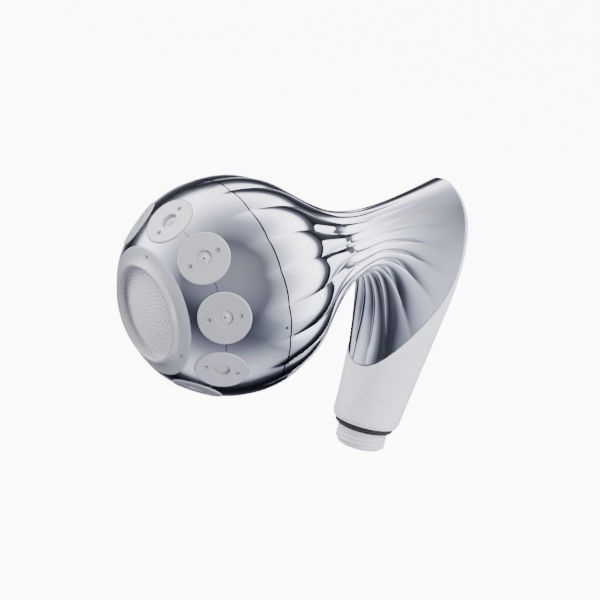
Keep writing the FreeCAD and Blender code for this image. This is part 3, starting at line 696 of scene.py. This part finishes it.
@dataclass
class HoseEnd:
    """Threaded spigot with a true helix, its O-ring and the white end ring."""

    root: float = 9.316
    crest: float = 10.44
    pitch: float = 1.814
    top: float = -56.4
    bottom: float = -64.0
    bore: float = 7.0
    shoulder: tuple = ((9.5, -53.3), (11.3, -53.3), (11.3, -46.1))
    turns: float = 3.35
    steps: int = 72

    def build(self) -> None:
        """Builds the hose end's pieces."""
        self.core()
        self.helix()
        for node, name in (("spigot_o_ring", "stem_o_ring"), ("end_ring", "stem_end_ring")):
            finish = Finishes.black_rubber if "o_ring" in node else Finishes.white_thread
            dress(welded_copy(node, name), finish, Body.HANDLE, node)

    def core(self) -> None:
        """Plain tube that carries the thread."""
        outline = [
            (self.bore, self.bottom), (self.root - 0.5, self.bottom), (self.root, self.bottom + 0.5),
            (self.root, self.top - 0.15), (self.crest, self.top), (self.crest, self.top + 0.2),
            (self.shoulder[0][0], self.top + 0.2), *self.shoulder, (self.bore, self.shoulder[-1][1]),
        ]
        core = settle(lathe(outline, 96), "spigot_core", STEM_FRAME)
        dress(core, Finishes.white_thread, Body.HANDLE, "thread_spigot")

    def helix(self) -> None:
        """Right-hand thread swept round the core, its ends run out into the root."""
        mesh = bmesh.new()
        ridge = [
            (self.root - 0.1, 0.8), (self.crest - 0.1, 0.22), (self.crest, 0.08),
            (self.crest, -0.08), (self.crest - 0.1, -0.22), (self.root - 0.1, -0.8),
        ]
        start = self.bottom + 1.05
        corners = [mesh.verts.new((r, 0, start + h)) for r, h in ridge]
        edges = [mesh.edges.new((a, b)) for a, b in zip(corners, corners[1:] + corners[:1])]
        mesh.faces.new(corners)
        bmesh.ops.spin(mesh, geom=corners + edges, axis=(0, 0, 1), cent=(0, 0, 0), use_merge=False,
                       dvec=(0, 0, self.pitch / self.steps), angle=math.tau * self.turns,
                       steps=int(self.steps * self.turns))
        bmesh.ops.holes_fill(mesh, edges=mesh.edges, sides=len(ridge))
        for vert in mesh.verts:
            lap = (vert.co.z - start) / self.pitch
            run_out = smooth_end(lap, self.turns)
            radius = math.hypot(vert.co.x, vert.co.y)
            wanted = self.root - 0.12 + (radius - self.root + 0.12) * run_out
            vert.co.x *= wanted / radius
            vert.co.y *= wanted / radius
        thread = settle(mesh, "hose_thread", STEM_FRAME)
        dress(thread, Finishes.white_thread, Body.HANDLE)


def smooth_end(lap: float, turns: float) -> float:
    """Share of full thread height, running out over the first and last part of a turn."""
    return float(smooth_step(np.array(min(lap + 0.5, turns + 0.5 - lap) / 0.7)))


# ---------------------------------------------------------------- inner works


def dress_works() -> None:
    """Gives every remaining CAD node the finish of its record slot."""
    slots = {entry["node"]: entry["material_slot"] for entry in frame["record"]["subparts"]}
    for node, piece in frame["nodes"].items():
        finish = Finishes[slots[node]]
        piece.data.materials.clear()
        piece.data.materials.append(finish.value.material())


# ---------------------------------------------------------------- studio


@dataclass
class Studio:
    """Pale floor, soft lamps, the surroundings that the chrome mirrors, and the camera."""

    floor_drop: float = 0.09
    floor_half: float = 9.0
    camera_offset: tuple = (0.567918, -0.467102, 0.163728)
    camera_right: tuple = (0.60252723, 0.75994179, 0.24382251)
    camera_up: tuple = (-0.32193949, -0.04811663, 0.94553675)
    camera_back: tuple = (0.73028481, -0.64820773, 0.2156637)
    dark_side: tuple = (-0.73, 0.65, -0.21)
    sky_strength: float = 5.0
    lens: float = 120.0

    def build(self) -> None:
        """Sets up everything round the object."""
        self.floor()
        self.lamps()
        self.sky()
        self.camera()

    def floor(self) -> None:
        """Plain pale floor below the object."""
        mesh = bmesh.new()
        bmesh.ops.create_grid(mesh, x_segments=2, y_segments=2, size=self.floor_half)
        mesh.transform(Matrix.Translation((0, 0, -self.floor_drop)))
        floor = link_up(mesh, "floor")
        paint = Finish("pale_floor", (0.93, 0.93, 0.94), 0.0, 0.8, 0.05, 0.01, 3, 40, 0.01, glow=9.0)
        floor.data.materials.append(paint.material())
        floor.visible_glossy = False
        floor.visible_diffuse = False

    def lamps(self) -> None:
        """Soft boxes round the object."""
        for name, place, size, power, tint in (
            ("key_box", (0.3, -0.5, 1.0), (0.9, 0.7), 9.0, (1, 1, 1)),
            ("side_box", (1.3, -0.2, 0.3), (0.6, 1.0), 26.0, (0.96, 0.96, 1)),
            ("left_box", (-0.9, -0.7, 0.5), (0.6, 0.9), 12.0, (0.98, 0.98, 1)),
            ("back_box", (-0.2, 1.1, 0.6), (1.2, 0.6), 4.0, (1, 1, 1)),
        ):
            light = bpy.data.lights.new(name, "AREA")
            light.shape = "RECTANGLE"
            light.size, light.size_y = size
            light.energy = power
            light.color = tint
            lamp = bpy.data.objects.new(name, light)
            lamp.location = place
            aim = HEAD_CENTRE - Vector(place)
            lamp.rotation_euler = aim.to_track_quat("-Z", "Y").to_euler()
            lamp.visible_glossy = False
            bpy.context.scene.collection.objects.link(lamp)

    def sky(self) -> None:
        """Surroundings that the chrome mirrors: bright overhead, dim below, dark behind the object."""
        world = bpy.data.worlds.new("studio_air")
        bpy.context.scene.world = world
        world.use_nodes = True
        nodes, links = world.node_tree.nodes, world.node_tree.links
        place = nodes.new("ShaderNodeTexCoord")
        behind = nodes.new("ShaderNodeVectorMath")
        behind.operation = "DOT_PRODUCT"
        behind.inputs[1].default_value = self.dark_side
        split = nodes.new("ShaderNodeSeparateXYZ")
        links.new(place.outputs["Generated"], behind.inputs[0])
        links.new(place.outputs["Generated"], split.inputs["Vector"])
        across = self._ramp(nodes, links, behind.outputs["Value"], (
            (-1.0, (0.09, 0.092, 0.105)), (-0.7, (0.05, 0.052, 0.062)), (-0.3, (0.30, 0.31, 0.34)),
            (0.15, (0.95, 0.95, 1.0)), (0.4, (0.9, 0.9, 0.95)), (0.55, (0.05, 0.052, 0.065)),
            (0.72, (0.004, 0.004, 0.005)), (0.88, (0.02, 0.02, 0.025)), (1.0, (0.3, 0.31, 0.34)),
        ))
        upward = self._ramp(nodes, links, split.outputs["Z"], (
            (-1.0, (0.3, 0.305, 0.35)), (-0.55, (0.12, 0.125, 0.15)), (-0.3, (0.3, 0.31, 0.36)),
            (-0.08, (0.75, 0.76, 0.83)), (0.3, (0.95, 0.96, 1.0)), (0.7, (1.0, 1.0, 1.0)),
            (1.0, (0.5, 0.51, 0.58)),
        ))
        light = self._times(nodes, links, across, upward)
        links.new(light, nodes["Background"].inputs["Color"])
        nodes["Background"].inputs["Strength"].default_value = self.sky_strength

    @staticmethod
    def _times(nodes: bpy.types.Nodes, links: bpy.types.NodeLinks, first: bpy.types.NodeSocket,
               second: bpy.types.NodeSocket) -> bpy.types.NodeSocket:
        """Product of two colours.

        Args:
            nodes: the tree's nodes.
            links: the tree's links.
            first: one colour.
            second: the other colour.

        Returns:
            The product's output.
        """
        blend = nodes.new("ShaderNodeMix")
        blend.data_type = "RGBA"
        blend.blend_type = "MULTIPLY"
        colour_first, colour_second, colour_result = 6, 7, 2
        blend.inputs["Factor"].default_value = 1.0
        links.new(first, blend.inputs[colour_first])
        links.new(second, blend.inputs[colour_second])
        return blend.outputs[colour_result]

    @staticmethod
    def _ramp(nodes: bpy.types.Nodes, links: bpy.types.NodeLinks, source: bpy.types.NodeSocket,
              stops: tuple) -> bpy.types.NodeSocket:
        """Colour ramp over a value from -1 to 1.

        Args:
            nodes: the tree's nodes.
            links: the tree's links.
            source: the value.
            stops: (value, colour) pairs in order, with values from -1 to 1.

        Returns:
            The ramp's colour output.
        """
        reach = nodes.new("ShaderNodeMapRange")
        reach.inputs["From Min"].default_value = -1.0
        ramp = nodes.new("ShaderNodeValToRGB")
        links.new(source, reach.inputs["Value"])
        links.new(reach.outputs["Result"], ramp.inputs["Fac"])
        marks = ramp.color_ramp.elements
        for extra in stops[1:-1]:
            marks.new((extra[0] + 1) / 2)
        for mark, (value, colour) in zip(marks, stops):
            mark.position = (value + 1) / 2
            mark.color = (*colour, 1.0)
        return ramp.outputs["Color"]

    def camera(self) -> None:
        """Camera at the view that the part is seen from."""
        data = bpy.data.cameras.new("view_camera")
        data.lens = self.lens
        data.sensor_width = 36.0
        data.clip_end = 60.0
        view = bpy.data.objects.new("view_camera", data)
        turn = Matrix((self.camera_right, self.camera_up, self.camera_back)).transposed().to_4x4()
        view.matrix_world = Matrix.Translation(HEAD_CENTRE + Vector(self.camera_offset)) @ turn
        bpy.context.scene.collection.objects.link(view)
        bpy.context.scene.camera = view


def main() -> None:
    """Builds and dresses the whole shower head."""
    logging.basicConfig(level=logging.INFO)
    dress_works()
    FlutedShell().build()
    WhiteBack().build()
    TurningFace().build()
    HoseEnd().build()
    Studio().build()


if __name__ == "__main__":
    main()
